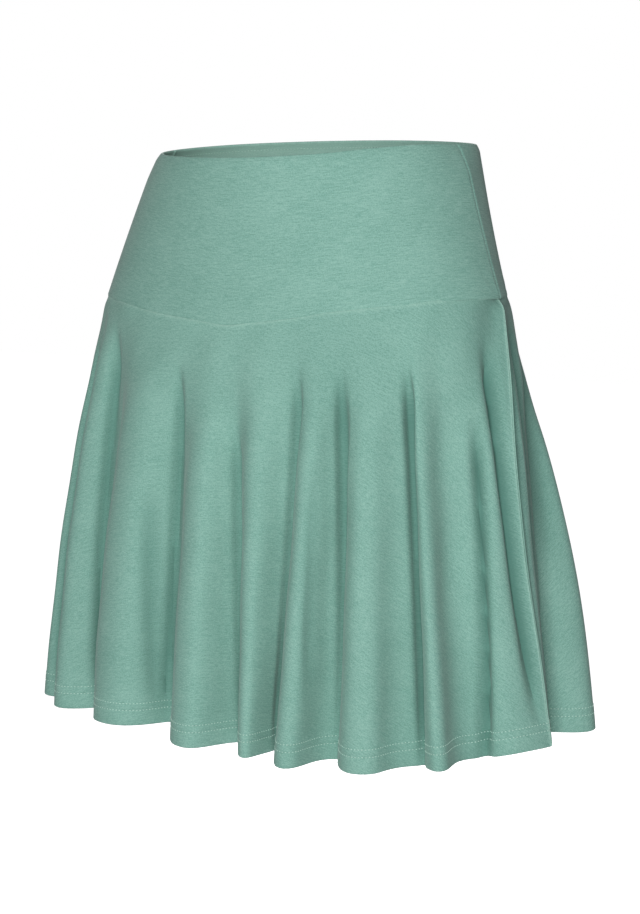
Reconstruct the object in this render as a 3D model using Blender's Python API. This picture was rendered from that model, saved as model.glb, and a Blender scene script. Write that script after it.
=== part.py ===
"""A skort: a wide contoured waistband, a half-circle skirt and plain shorts under it.

It is worn and hollow. The front faces -Y, the wearer's left is +X and +Z is up. The origin is the
centre of the waist opening. Angles run round the figure in degrees, from the centre front (0) over
the wearer's left side (90) and the centre back (180) to the wearer's right side (270, or -90).
"""

import math

import bmesh
import bpy
import numpy as np

# Driving sizes, in metres
BAND_WALL = 0.0020      # the waistband is folded double
CLOTH_WALL = 0.0012     # skirt and shorts are one layer
GAP = 0.0003            # between two pieces at a seam
SHORTS_GAP = 0.0008     # between band and shorts, whose longer faces cut across the seam's dip

SIDE_LEFT, SIDE_RIGHT = 85.0, 275.0     # side seams of the band, in degrees

BAND_COLUMNS, BAND_ROWS = 30, 4         # faces across and down a piece of the band
HALF_FOLD, SKIRT_ROWS = 5, 7            # faces from a crest to the next valley, and down the skirt
NEAR_VALLEY = 1.4                       # how much closer together they stand in the valley
NEAR_BAND = 1.25                        # and in the rows by the band
SHORTS_COLUMNS, SHORTS_ROWS = 20, 11    # faces round and down one leg
CURVE_STEPS = 60                        # steps by which a curve's length is measured

# Rings of the figure that the cloth follows: half width, half depth, shift to the wearer's left,
# shift to the back, and how much broader the ring is before its middle than behind it
RINGS = {
    #                         width   depth    left     back    egg
    "waist":       np.array((0.1240, 0.1040, 0.0040, -0.0010, 0.00)),
    "band middle": np.array((0.1415, 0.1085, 0.0000, -0.0035, 0.05)),
    "band seam":   np.array((0.1592, 0.1115, -0.0010, -0.0070, 0.10)),
    "hem":         np.array((0.2070, 0.1350, -0.0020, -0.0080, 0.00)),
}

# Height of the waist's edge and of the band's lower seam round the figure, which stands with its
# left hip a little higher. The seam dips to a soft point at the centre front.
WAIST_LEVEL = (
    # angle, height
    (-90, -0.0032), (-48, -0.0037), (-20, -0.0036), (0, -0.0029), (26, -0.0003), (45, 0.0027),
    (65, 0.0041), (90, 0.0020), (120, -0.0005), (180, -0.0010), (230, -0.0020),
)
SEAM_LEVEL = (
    (-90, -0.1120), (-48, -0.1115), (-24, -0.1170), (-8, -0.1210), (-2, -0.1228), (5, -0.1200),
    (14, -0.1170), (26, -0.1115), (45, -0.1070), (62, -0.1045), (85, -0.1065), (110, -0.1110),
    (140, -0.1150), (180, -0.1170), (230, -0.1150),
)

# How far the skirt rounds over hip and seat before it falls straight, round the figure
HIP_BULGE = (
    # angle, bulge
    (-90, 0.60), (-60, 0.48), (0, 0.50), (85, 0.55), (120, 0.95), (180, 1.05), (240, 0.90),
)

# The skirt's folds once round. Each crest and the valley after it run down from "top" to "hem", in
# degrees. A crest stands out from the hem's ring by "out" and a valley lies inside it by "in", and
# "before" and "behind" say how full the cloth's curve is on either side. "level" is the hem's height
# at the crest, and "start" the share of the skirt's length above which the fold has not begun.
FOLDS = (
    # crest: top, hem, out, before, behind | valley: top, hem, in, before, behind | level  start
    (-74.5, -84.0, 0.016, 2.4, 2.0, -70.0, -76.0, 0.014, 0.9, 0.5, -0.4225, 0.10),
    (-65.0, -64.5, 0.023, 2.5, 2.0, -56.0, -55.5, 0.008, 1.0, 0.5, -0.4225, 0.10),
    (-50.0, -48.5, 0.024, 2.5, 1.9, -40.0, -38.5, 0.020, 1.1, 0.4, -0.4205, 0.07),
    (-26.0, -28.6, 0.022, 3.0, 2.4, -14.5, -16.0, 0.022, 1.2, 0.4, -0.4190, 0.12),
    (-6.0, -6.5, 0.018, 2.6, 1.6, 0.5, 2.2, 0.020, 1.7, 0.4, -0.4260, 0.20),
    (7.5, 6.5, 0.016, 2.4, 1.5, 16.9, 10.2, 0.017, 1.5, 0.4, -0.4285, 0.12),
    (22.0, 15.0, 0.018, 2.6, 1.4, 28.4, 23.3, 0.019, 2.0, 0.35, -0.4330, 0.12),
    (35.5, 30.4, 0.018, 2.8, 1.35, 45.0, 43.9, 0.008, 2.3, 0.35, -0.4345, 0.18),
    (47.5, 46.7, 0.018, 3.2, 1.15, 56.0, 57.0, 0.011, 2.0, 1.2, -0.4330, 0.13),
    (82.0, 74.5, 0.010, 2.6, 1.8, 108.0, 91.5, 0.025, 0.7, 0.7, -0.4265, 0.12),
    (118.0, 102.0, 0.016, 2.4, 2.3, 126.0, 112.5, 0.018, 0.5, 1.0, -0.4285, 0.28),
    (131.5, 122.5, 0.016, 2.0, 2.4, 138.0, 132.0, 0.018, 0.5, 1.1, -0.4275, 0.16),
    (144.5, 142.0, 0.018, 2.2, 2.7, 151.0, 151.0, 0.021, 0.5, 1.1, -0.4285, 0.12),
    (160.0, 160.0, 0.016, 1.9, 2.4, 168.0, 168.0, 0.015, 0.6, 0.9, -0.4300, 0.22),
    (176.0, 176.0, 0.018, 2.3, 2.6, 185.0, 185.0, 0.022, 0.5, 0.9, -0.4310, 0.10),
    (194.0, 195.0, 0.017, 2.2, 2.2, 203.0, 203.0, 0.016, 0.8, 0.6, -0.4300, 0.18),
    (213.0, 213.0, 0.018, 2.5, 2.1, 222.0, 223.0, 0.022, 1.0, 0.5, -0.4285, 0.12),
    (231.0, 233.0, 0.016, 2.4, 1.9, 240.0, 241.0, 0.016, 1.0, 0.5, -0.4270, 0.20),
    (248.5, 248.0, 0.018, 2.5, 2.0, 258.0, 256.0, 0.017, 1.1, 0.5, -0.4255, 0.12),
    (274.2, 266.5, 0.014, 2.3, 2.0, 280.5, 272.5, 0.014, 1.0, 0.6, -0.4240, 0.14),
)
# Side seams of the skirt: the row of the fold, and how far on from its crest towards its valley
LEFT_SEAM_FOLD, RIGHT_SEAM_FOLD, SEAM_BEYOND_CREST = 9, 19, 0.09
VALLEY_DROP = 0.001         # of a valley's hem below the crest's before it
VALLEY_LEVEL = 0.15         # how far a valley's hem goes to the next crest's level
START_SOFTNESS = 0.04       # share of the length over which a fold sets in
FOLD_SPREAD = 0.62          # a fold deepens with this power of the length below its start
SET_IN = 1.15               # a fold is at its full roundness a little before its full depth
SEAM_PULL = 8               # how fast the skirt leaves the band's edge for its own ring

# How far the folds lean back towards the centre front, halfway down, in degrees
LEAN = (
    # angle, lean
    (-90, 0.0), (-60, -0.4), (-40, -1.2), (-15, 0.0), (20, 0.2), (26, 0.4), (33, -1.0), (42, 0.0), (52, -2.0),
    (64, -1.0), (73, -2.2),
    (80, -8.5), (90, -3.0), (98, 3.5), (108, 2.5), (130, 0.0), (230, 0.0),
)

# The shorts' legs: half width, half depth, middle's distance to the side, shift to the back
LEG_AT_CROTCH = np.array((0.0780, 0.0895, 0.0820, -0.0050))
LEG_AT_HEM = np.array((0.0730, 0.0785, 0.0880, 0.0010))
CROTCH_LEVEL, SHORTS_LEVEL = -0.285, -0.370
SEAT_ROWS = 8               # of the shorts' rows, those above the crotch
SEAT_BULGE = 0.004


# ---- curves and rings ----

def around(rows, angles):
    """Smooth values at angles of a table of rows (angle, value) that runs once round the figure."""
    places, values = np.array(rows, float).T
    places = np.concatenate((places[-2:] - 360, places, places[:2] + 360))
    values = np.concatenate((values[-2:], values, values[:2]))
    angles = (np.asarray(angles, float) - rows[0][0]) % 360 + rows[0][0]
    i = np.clip(np.searchsorted(places, angles, "right") - 1, 1, len(places) - 3)
    a, b, c, d = (places[i + k] for k in (-1, 0, 1, 2))
    before, here, there, after = (values[i + k] for k in (-1, 0, 1, 2))
    rise_here = (there - before) / (c - a) * (c - b)
    rise_there = (after - here) / (d - b) * (c - b)
    return hermite(here, rise_here, there, rise_there, (angles - b) / (c - b))


def hermite(start, leave, end, arrive, t):
    """Cubic from start to end that sets out along leave and arrives along arrive."""
    return (start * (1 - 3 * t**2 + 2 * t**3) + leave * (t - 2 * t**2 + t**3)
            + end * (3 * t**2 - 2 * t**3) + arrive * (t**3 - t**2))


def mix(a, b, share):
    return a + (b - a) * share


def unit(vectors):
    return vectors / np.linalg.norm(vectors, axis=-1, keepdims=True)


def ring_point(ring, angles, level):
    """Points of a ring at angles and heights, with the ring's outward normals and its directions."""
    width, depth, left, back, egg = (ring[..., k] for k in range(5))
    sine, cosine = np.sin(np.radians(angles)), np.cos(np.radians(angles))
    breadth = width * (1 + egg * cosine)
    flat = np.zeros_like(sine * breadth)
    points = np.stack((breadth * sine + left, back - depth * cosine + flat, level + flat), -1)
    normals = unit(np.stack((sine / breadth, -cosine / depth, flat), -1))
    along = unit(np.stack((-normals[..., 1], normals[..., 0], flat), -1))
    return points, normals, along


def measured(points):
    """Distance along a polyline to each of its points."""
    return np.concatenate(((0,), np.cumsum(np.linalg.norm(np.diff(points, axis=0), axis=1))))


def even_angles(ring, first, last, count):
    """Angles from first to last that part the ring there into equal lengths."""
    steps = np.linspace(first, last, 4 * CURVE_STEPS + 1)
    lengths = measured(ring_point(ring, steps, 0.0)[0])
    return np.interp(np.linspace(0, lengths[-1], count + 1), lengths, steps)


# ---- waistband ----

def band_ring(share):
    """Ring of the band's outer face, from the waist's edge (0) to the lower seam (1)."""
    waist, middle, seam = (RINGS[name] for name in ("waist", "band middle", "band seam"))
    share = np.asarray(share)[..., None]
    return (waist * (1 - share) * (1 - 2 * share) + middle * 4 * share * (1 - share)
            + seam * share * (2 * share - 1))


def band_point(angles, shares):
    level = mix(around(WAIST_LEVEL, angles), around(SEAM_LEVEL, angles), shares)
    return ring_point(band_ring(shares), angles, level)


def under_band(angles, gap=GAP, inset=0.0):
    """Places a gap below the band's lower edge, where a piece is sewn on, inset from its outer face."""
    one = np.ones_like(angles)
    edge, outward, _ = band_point(angles, one)
    down = unit(edge - band_point(angles, one * 0.95)[0])
    outward = unit(outward - down * np.sum(outward * down, -1, keepdims=True))
    return edge + down * gap - outward * inset


def band_piece(name, first, last, material):
    half_gap = math.degrees(GAP / 2 / RINGS["waist"][1])
    angles = even_angles(RINGS["band middle"], first + half_gap, last - half_gap, BAND_COLUMNS)
    columns, shares = np.meshgrid(angles, np.linspace(0, 1, BAND_ROWS + 1), indexing="ij")
    face, _, along = band_point(columns, shares)
    return sheet(name, face, BAND_WALL, material, (along[0], along[-1]))


# ---- skirt ----

def fold_growth(share, start):
    """How much of its full depth a fold has at a share of the skirt's length."""
    def ramp(x):
        return (x + np.hypot(x, START_SOFTNESS)) / 2
    grown = np.maximum(ramp(share - start) - ramp(-start), 0) / (ramp(1 - start) - ramp(-start))
    return grown ** FOLD_SPREAD


def leaning(top, hem, shares):
    """Angle at shares of the skirt's length of a line down it, from its angles at seam and hem."""
    angles = mix(top, hem, shares)
    return angles + around(LEAN, angles) * 4 * shares * (1 - shares)


def skirt_ring(angles, shares):
    """The ring that the skirt's folds stand out from."""
    bulge = around(HIP_BULGE, angles)
    return mix(RINGS["band seam"], RINGS["hem"], (shares + bulge * shares * (1 - shares))[..., None])


def skirt_cloth():
    """The skirt's outer face once round from the first crest, as a grid (columns, rows, 3)."""
    nodes = []
    for row, following in zip(FOLDS, FOLDS[1:] + FOLDS[:1]):
        crest, valley, (level, start) = row[:5], row[5:10], row[10:]
        nodes.append((*crest, level, start))
        nodes.append((*valley[:2], -valley[2], *valley[3:],
                      mix(level, following[10], VALLEY_LEVEL) - VALLEY_DROP,
                      mix(start, following[11], 0.5)))
    nodes.append((nodes[0][0] + 360, nodes[0][1] + 360, *nodes[0][2:]))
    top, hem, out, before, behind, level, start = np.array(nodes).T
    shares = (np.linspace(0, 1, SKIRT_ROWS + 1) ** NEAR_BAND)[None]
    angles = leaning(top[:, None], hem[:, None], shares)
    growth = fold_growth(shares, start[:, None])
    heights = mix(around(SEAM_LEVEL, top)[:, None], level[:, None], shares)
    base, normals, along = ring_point(skirt_ring(angles, shares + 0 * angles), angles, heights)
    points = base + normals * (out[:, None] * growth)[..., None]
    runs = np.linalg.norm(np.diff(base[..., :2], axis=0), axis=-1)
    arrive, leave = (mix(1.0, fullness[:, None], np.minimum(growth * SET_IN, 1))[..., None] * along
                     for fullness in (before, behind))
    fine = np.linspace(0, 1, CURVE_STEPS + 1)[:, None]
    even = np.linspace(0, 1, HALF_FOLD + 1)
    grid = np.empty((HALF_FOLD * (len(nodes) - 1) + 1, SKIRT_ROWS + 1, 3))
    tops = np.empty(grid.shape[0])
    for k in range(len(nodes) - 1):
        closer = even**NEAR_VALLEY if out[k] < 0 else 1 - (1 - even)**NEAR_VALLEY
        columns = slice(k * HALF_FOLD, (k + 1) * HALF_FOLD + 1)
        tops[columns] = mix(top[k], top[k + 1], closer)
        for row in range(SKIRT_ROWS + 1):
            curve = hermite(points[k, row], runs[k, row] * leave[k, row],
                            points[k + 1, row], runs[k, row] * arrive[k + 1, row], fine)
            lengths = measured(curve)
            for axis in range(3):
                grid[columns, row, axis] = np.interp(closer * lengths[-1], lengths, curve[:, axis])
    error = under_band(tops) - grid[:, 0]
    return grid + error[:, None] * ((1 - shares) ** SEAM_PULL)[..., None]


def skirt_piece(name, first_fold, last_fold, material):
    """One quarter-circle panel, from the side seam by one fold to the side seam by another."""
    whole = skirt_cloth()
    total = whole.shape[0] - 1
    first, last = ((2 * fold + SEAM_BEYOND_CREST) * HALF_FOLD for fold in (first_fold, last_fold))
    columns = np.concatenate(((first,), np.arange(math.ceil(first), math.floor(last) + 1), (last,)))
    low = np.floor(columns % total).astype(int)
    part = (columns % total - low)[:, None, None]
    face = mix(whole[low], whole[low + 1], part)
    ends = [unit(whole[low[k] + 1] - whole[low[k]]) for k in (0, -1)]
    face[0] += ends[0] * GAP / 2
    face[-1] -= ends[1] * GAP / 2
    return sheet(name, face, CLOTH_WALL, material, ends)


# ---- shorts ----

def leg_point(angles, drop, side):
    """Points of a leg of the shorts, from the crotch (0) to its hem (1); angle 0 is its inseam."""
    width, depth, out, back = mix(LEG_AT_CROTCH, LEG_AT_HEM, drop)
    turn = np.radians(angles)
    return np.stack((side * (out - width * np.cos(turn)), back - depth * np.sin(turn),
                     mix(CROTCH_LEVEL, SHORTS_LEVEL, drop) + 0 * turn), -1)


def shorts_piece(name, side, material):
    """One leg with its half of the seat; side is 1 for the wearer's left and -1 for the right."""
    middle = np.array((RINGS["band seam"][2], 0, 0))
    across = np.linspace(0, 1, SHORTS_COLUMNS + 1)
    angles = side * even_angles(RINGS["band seam"], 0, 180, SHORTS_COLUMNS)
    top = under_band(angles, SHORTS_GAP, CLOTH_WALL + 3 * GAP)
    top[:, 0] += side * GAP / 2
    behind = np.maximum(0, -np.cos(np.radians(angles)))
    rows = []
    for row in range(SEAT_ROWS):
        turn = math.pi / 2 * row / SEAT_ROWS
        start = top.copy()
        start[:, 1] += SEAT_BULGE * math.sin(2 * turn) * behind
        points = mix(start, leg_point(360 * across, 0, side) + middle, 1 - math.cos(turn))
        points[:, 2] = mix(top[:, 2], CROTCH_LEVEL, math.sin(turn))
        rows.append(points)
    for drop in np.linspace(0, 1, SHORTS_ROWS - SEAT_ROWS + 1):
        rows.append(leg_point(360 * across, drop, side) + middle)
    face = np.stack(rows, 1)
    return sheet(name, face[::side], CLOTH_WALL, material)


# ---- making the pieces ----

def sheet(name, face, wall, material, ends=None):
    """A cloth from its outer face, a grid (columns, rows, 3), given its wall inwards.

    ends are the directions along the cloth at its first and last column, where it is sewn to the
    next piece and the two walls have to stand side by side.
    """
    columns, rows = face.shape[0] - 1, face.shape[1] - 1
    step = np.arange(columns + 1)
    across = face[np.minimum(step + 1, columns)] - face[np.maximum(step - 1, 0)]
    if ends:
        across[0], across[-1] = ends
    down = np.gradient(face, axis=1)
    closed = np.linalg.norm(face[0] - face[-1], axis=-1) < GAP
    across[0, closed] = across[-1, closed] = (face[1] - face[-2])[closed]
    inward = unit(np.cross(across, down))

    cloth = bmesh.new()
    bmesh.ops.create_grid(cloth, x_segments=columns, y_segments=rows, size=0.5)
    way_in = cloth.verts.layers.float_vector.new("way in")
    for corner in cloth.verts:
        column, row = round((corner.co.x + 0.5) * columns), round((0.5 - corner.co.y) * rows)
        corner.co = face[column, row]
        corner[way_in] = inward[column, row]
    bmesh.ops.remove_doubles(cloth, verts=cloth.verts, dist=GAP / 10)
    made = bmesh.ops.extrude_face_region(cloth, geom=list(cloth.faces), use_keep_orig=True)
    for corner in made["geom"]:
        if isinstance(corner, bmesh.types.BMVert):
            corner.co += corner[way_in] * wall
    bmesh.ops.recalc_face_normals(cloth, faces=cloth.faces)
    mesh = bpy.data.meshes.new(name)
    cloth.to_mesh(mesh)
    cloth.free()
    mesh.materials.append(material)
    mesh.shade_smooth()
    mesh.set_sharp_from_angle(angle=math.radians(60))
    return bpy.data.objects.new(name, mesh)


def jersey(name, colour):
    material = bpy.data.materials.new(name)
    material.use_nodes = True
    shader = material.node_tree.nodes["Principled BSDF"]
    shader.inputs["Base Color"].default_value = (*colour, 1)
    shader.inputs["Roughness"].default_value = 0.85
    shader.inputs["Metallic"].default_value = 0.0
    return material


def build():
    for old in list(bpy.data.objects):
        bpy.data.objects.remove(old, do_unlink=True)
    skort = bpy.data.collections.new("skort")
    bpy.context.scene.collection.children.link(skort)
    sage = (0.16, 0.40, 0.31)
    pieces = (
        band_piece("waistband_front", SIDE_RIGHT - 360, SIDE_LEFT, jersey("band front jersey", sage)),
        band_piece("waistband_back", SIDE_LEFT, SIDE_RIGHT, jersey("band back jersey", sage)),
        skirt_piece("skirt_front", RIGHT_SEAM_FOLD - len(FOLDS), LEFT_SEAM_FOLD,
                    jersey("skirt front jersey", sage)),
        skirt_piece("skirt_back", LEFT_SEAM_FOLD, RIGHT_SEAM_FOLD, jersey("skirt back jersey", sage)),
        shorts_piece("shorts_left", 1, jersey("left leg jersey", sage)),
        shorts_piece("shorts_right", -1, jersey("right leg jersey", sage)),
    )
    for piece in pieces:
        skort.objects.link(piece)


build()
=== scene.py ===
"""The looks of a jersey skort: waistband, half-circle skirt in soft folds, shorts under it.

Metres, front to -Y, the wearer's left to +X, up to +Z. Angles run round the figure in degrees, from
the centre front (0) over the wearer's left side (90) and the centre back (180) to the right side.
"""
import math

import bpy
import numpy as np
from mathutils import Matrix, Vector


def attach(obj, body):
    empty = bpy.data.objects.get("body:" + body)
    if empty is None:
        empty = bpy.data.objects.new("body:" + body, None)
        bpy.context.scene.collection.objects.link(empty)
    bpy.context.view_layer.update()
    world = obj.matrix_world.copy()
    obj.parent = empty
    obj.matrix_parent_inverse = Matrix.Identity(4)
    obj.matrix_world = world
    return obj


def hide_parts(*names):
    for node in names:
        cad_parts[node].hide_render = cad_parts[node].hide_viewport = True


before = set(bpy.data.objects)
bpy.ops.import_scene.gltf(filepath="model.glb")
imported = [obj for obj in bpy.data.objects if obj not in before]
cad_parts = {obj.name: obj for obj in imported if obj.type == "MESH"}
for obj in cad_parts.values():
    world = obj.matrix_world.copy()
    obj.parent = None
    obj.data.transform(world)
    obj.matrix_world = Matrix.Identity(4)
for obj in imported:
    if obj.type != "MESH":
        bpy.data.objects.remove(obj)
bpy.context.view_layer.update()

# ---- sizes ----

BAND_WALL = 0.0020          # the waistband is folded double
CLOTH_WALL = 0.0012
GAP = 0.0003                # between two pieces at a seam
SHORTS_GAP = 0.0008
SIDE_LEFT, SIDE_RIGHT = 85.0, 275.0
BAND_DEPTH = 0.12           # of cloth, from the waist's edge to the seam
SKIRT_LENGTH = 0.325        # of cloth, from the seam to the hem's edge
CUT_RADIUS = 0.277          # of the seam's edge in a panel's quarter circle
CUT_SHEET = 0.9             # metres of cloth across one unit of the UV map
CUT_BAND, CUT_PANEL, CUT_LEG = (0.25, 0.95), (0.5, 0.75), (0.5, 0.6)   # where on it each is laid
HEM_DEPTH = 0.0175          # of the turned hem
HEM_ROWS = (0.0112, 0.0167) # of its two rows of stitches, above the edge
BAND_ROW = 0.0048           # of the stitches inside the waistband, under its upper edge

# Half width, half depth, shift to the wearer's left, shift to the back, broader before its middle
RINGS = {
    #                         width   depth    left     back    egg
    "waist":       np.array((0.1240, 0.1040, 0.0040, -0.0010, 0.00)),
    "band middle": np.array((0.1415, 0.1085, 0.0000, -0.0035, 0.05)),
    "band seam":   np.array((0.1592, 0.1115, -0.0010, -0.0070, 0.10)),
    "hem":         np.array((0.2070, 0.1350, -0.0020, -0.0080, 0.00)),
}
WAIST_LEVEL = (
    # angle, height
    (-90, -0.0032), (-48, -0.0037), (-20, -0.0036), (0, -0.0029), (26, -0.0003), (45, 0.0027),
    (65, 0.0041), (90, 0.0020), (120, -0.0005), (180, -0.0010), (230, -0.0020),
)
SEAM_LEVEL = (
    (-90, -0.1120), (-48, -0.1115), (-24, -0.1170), (-8, -0.1210), (-2, -0.1228), (5, -0.1200),
    (14, -0.1170), (26, -0.1115), (45, -0.1070), (62, -0.1045), (85, -0.1065), (110, -0.1110),
    (140, -0.1150), (180, -0.1170), (230, -0.1150),
)
HIP_BULGE = (
    (-90, 0.60), (-60, 0.48), (0, 0.50), (85, 0.55), (120, 0.95), (180, 1.05), (240, 0.90),
)

# The skirt's folds once round. Each crest and the valley after it run down from "top" to "hem", and
# "before" and "behind" say how full the cloth's curve is on either side. In front and on the right a
# crest stands out steeply from the valley before it and falls back gently into the one after it.
# Between the left seam and the centre back it is the other way round.
FOLDS = (
    # crest: top, hem, out, before, behind | valley: top, hem, in, before, behind | level  start
    (-74.5, -84.0, 0.016, 2.4, 2.0, -70.0, -76.0, 0.014, 0.9, 0.5, -0.4225, 0.10),
    (-65.0, -64.5, 0.023, 2.5, 2.0, -56.0, -55.5, 0.008, 1.0, 0.5, -0.4225, 0.10),
    (-50.0, -48.5, 0.024, 2.5, 1.9, -40.0, -38.5, 0.020, 1.1, 0.4, -0.4205, 0.07),
    (-26.0, -28.6, 0.022, 3.0, 2.4, -14.5, -16.0, 0.022, 1.2, 0.4, -0.4190, 0.12),
    (-6.0, -6.5, 0.018, 2.6, 1.6, 0.5, 2.2, 0.020, 1.7, 0.4, -0.4260, 0.20),
    (7.5, 6.5, 0.016, 2.4, 1.5, 16.9, 10.2, 0.017, 1.5, 0.4, -0.4285, 0.12),
    (22.0, 15.0, 0.018, 2.6, 1.4, 28.4, 23.3, 0.019, 2.0, 0.35, -0.4330, 0.12),
    (35.5, 30.4, 0.018, 2.8, 1.35, 45.0, 43.9, 0.008, 2.3, 0.35, -0.4345, 0.18),
    (47.5, 46.7, 0.018, 3.2, 1.15, 56.0, 57.0, 0.011, 2.0, 1.2, -0.4330, 0.13),
    (82.0, 74.5, 0.010, 2.6, 1.8, 108.0, 91.5, 0.025, 0.7, 0.7, -0.4265, 0.12),
    (118.0, 102.0, 0.016, 2.4, 2.3, 126.0, 112.5, 0.018, 0.5, 1.0, -0.4285, 0.28),
    (131.5, 122.5, 0.016, 2.0, 2.4, 138.0, 132.0, 0.018, 0.5, 1.1, -0.4275, 0.16),
    (144.5, 142.0, 0.018, 2.2, 2.7, 151.0, 151.0, 0.021, 0.5, 1.1, -0.4285, 0.12),
    (160.0, 160.0, 0.016, 1.9, 2.4, 168.0, 168.0, 0.015, 0.6, 0.9, -0.4300, 0.22),
    (176.0, 176.0, 0.018, 2.3, 2.6, 185.0, 185.0, 0.022, 0.5, 0.9, -0.4310, 0.10),
    (194.0, 195.0, 0.017, 2.2, 2.2, 203.0, 203.0, 0.016, 0.8, 0.6, -0.4300, 0.18),
    (213.0, 213.0, 0.018, 2.5, 2.1, 222.0, 223.0, 0.022, 1.0, 0.5, -0.4285, 0.12),
    (231.0, 233.0, 0.016, 2.4, 1.9, 240.0, 241.0, 0.016, 1.0, 0.5, -0.4270, 0.20),
    (248.5, 248.0, 0.018, 2.5, 2.0, 258.0, 256.0, 0.017, 1.1, 0.5, -0.4255, 0.12),
    (274.2, 266.5, 0.014, 2.3, 2.0, 280.5, 272.5, 0.014, 1.0, 0.6, -0.4240, 0.14),
)
LEFT_SEAM_FOLD, RIGHT_SEAM_FOLD, SEAM_BEYOND_CREST = 9, 19, 0.09
VALLEY_LEVEL, VALLEY_DROP = 0.15, 0.001    # a valley's hem is near the next crest's level
START_SOFTNESS = 0.04       # of the length, over which a fold sets in
FOLD_SPREAD = 0.62          # a fold deepens with this power of the length below its start
FULL_EARLY = 1.15           # the fold's curve is full before its depth is, by this factor

# How far the folds lean back towards the centre front, halfway down, in degrees
LEAN = (
    # angle, lean
    (-90, 0.0), (-60, -0.4), (-40, -1.2), (-15, 0.0), (20, 0.2), (26, 0.4), (33, -1.0), (42, 0.0),
    (52, -2.0), (64, -1.0), (73, -2.2), (80, -8.5), (90, -3.0), (98, 3.5), (108, 2.5), (130, 0.0),
    (230, 0.0),
)

# Creases in the skirt, where it turns into a fold or is pressed; they start and end at shares of its
# length. The widest are the shallow hollows under the waistband's seam.
# Each crease also paints shade into the cloth's colour along it, the more the deeper it is.
CREASES = (
    # top    hem    start   end   depth   half width
    (-42.5, -42.0, 0.07, 1.05, 0.0070, 0.0048),
    (-14.8, -18.2, 0.12, 1.05, 0.0068, 0.0040),
    (-22.0, -19.5, 0.42, 1.05, 0.0042, 0.0080),
    (0.3, 1.6, 0.24, 1.05, 0.0055, 0.0036),
    (17.5, 10.0, 0.12, 1.05, 0.0062, 0.0036),
    (21.5, 18.5, 0.32, 0.90, 0.0020, 0.0070),
    (27.9, 23.8, 0.13, 1.05, 0.0068, 0.0036),
    (27.0, 26.0, -0.15, 0.34, 0.0014, 0.0450),
    (45.2, 44.0, 0.14, 1.05, 0.0082, 0.0038),
    (67.0, 60.1, 0.26, 1.10, 0.0090, 0.0046),
    (74.4, 75.4, 0.10, 0.98, 0.0110, 0.0048),
    (87.8, 79.2, 0.02, 0.96, 0.0070, 0.0050),
    (96.0, 85.0, 0.05, 0.95, 0.0080, 0.0075),
    (111.0, 95.0, 0.05, 0.66, 0.0045, 0.0110),
    (78.5, 79.5, -0.15, 0.34, 0.0030, 0.0180),
    (94.0, 90.0, -0.15, 0.70, 0.0030, 0.0190),
    (281.0, 280.0, -0.15, 0.26, 0.0022, 0.0170),
    (267.0, 269.0, -0.15, 0.40, 0.0030, 0.0180),
    (-70.0, -76.0, 0.12, 1.00, 0.0075, 0.0046),
    (-61.0, -62.3, 0.12, 1.00, 0.0096, 0.0060),
    (126.0, 112.5, 0.10, 1.00, 0.0030, 0.0035),
    (138.0, 132.0, 0.17, 1.00, 0.0030, 0.0035),
    (151.0, 151.0, 0.12, 1.05, 0.0030, 0.0035),
    (168.0, 168.0, 0.24, 1.00, 0.0026, 0.0040),
    (185.0, 185.0, 0.10, 1.05, 0.0030, 0.0035),
    (203.0, 203.0, 0.20, 1.00, 0.0026, 0.0040),
    (222.0, 223.0, 0.12, 1.05, 0.0030, 0.0035),
    (240.0, 241.0, 0.22, 1.00, 0.0020, 0.0040),
    (258.0, 256.0, 0.13, 1.00, 0.0030, 0.0035),
)

# Small puckers in the waistband: where the seam pulls at it
PUCKERS = (
    # angle  share  depth   half width, half length, lean in degrees
    (80.0, 0.070, 0.0006, 0.0012, 0.0060, 4.0),
    (77.0, 0.110, 0.0004, 0.0014, 0.0080, 10.0),
    (81.0, 0.900, 0.0007, 0.0014, 0.0100, -26.0),
    (77.0, 0.930, 0.0005, 0.0014, 0.0080, -34.0),
    (-1.0, 0.955, 0.0006, 0.0016, 0.0060, 10.0),
    (-5.0, 0.965, 0.0005, 0.0014, 0.0045, -16.0),
    (29.0, 0.025, 0.0004, 0.0030, 0.0035, 0.0),
    (-78.0, 0.900, 0.0006, 0.0014, 0.0090, 24.0),
    (100.0, 0.930, 0.0006, 0.0015, 0.0080, 22.0),
    (171.0, 0.960, 0.0005, 0.0016, 0.0060, -12.0),
    (262.0, 0.920, 0.0006, 0.0015, 0.0090, -20.0),
)

# Half width, half depth, out from the middle and back, of a leg's ring
LEG_AT_CROTCH = np.array((0.0780, 0.0895, 0.0820, -0.0050))
LEG_AT_HEM = np.array((0.0730, 0.0785, 0.0880, 0.0010))
CROTCH_LEVEL, SHORTS_LEVEL = -0.285, -0.370
SEAT_BULGE = 0.004
SEAT_DEPTH, LEG_DEPTH = 0.170, 0.085    # of cloth, from the band to the crotch and on to the leg's hem
LEG_HEM_ROW = 0.016         # of the leg's stitches, above its edge
LEG_SEAM = 0.0004           # of the way round a leg, open on either side of its seam


# ---- curves and rings ----

RING_STEPS, FOLD_STEPS = 241, 61    # along a ring and along half a fold, to measure lengths by


def around(rows, angles):
    """Smooth values at angles of a table of rows (angle, value) that runs once round the figure."""
    places, values = np.array(rows, float).T
    places = np.concatenate((places[-2:] - 360, places, places[:2] + 360))
    values = np.concatenate((values[-2:], values, values[:2]))
    angles = (np.asarray(angles, float) - rows[0][0]) % 360 + rows[0][0]
    i = np.clip(np.searchsorted(places, angles, "right") - 1, 1, len(places) - 3)
    a, b, c, d = (places[i + k] for k in (-1, 0, 1, 2))
    va, vb, vc, vd = (values[i + k] for k in (-1, 0, 1, 2))
    return hermite(vb, (vc - va) / (c - a) * (c - b), vc, (vd - vb) / (d - b) * (c - b),
                   (angles - b) / (c - b))


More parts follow.
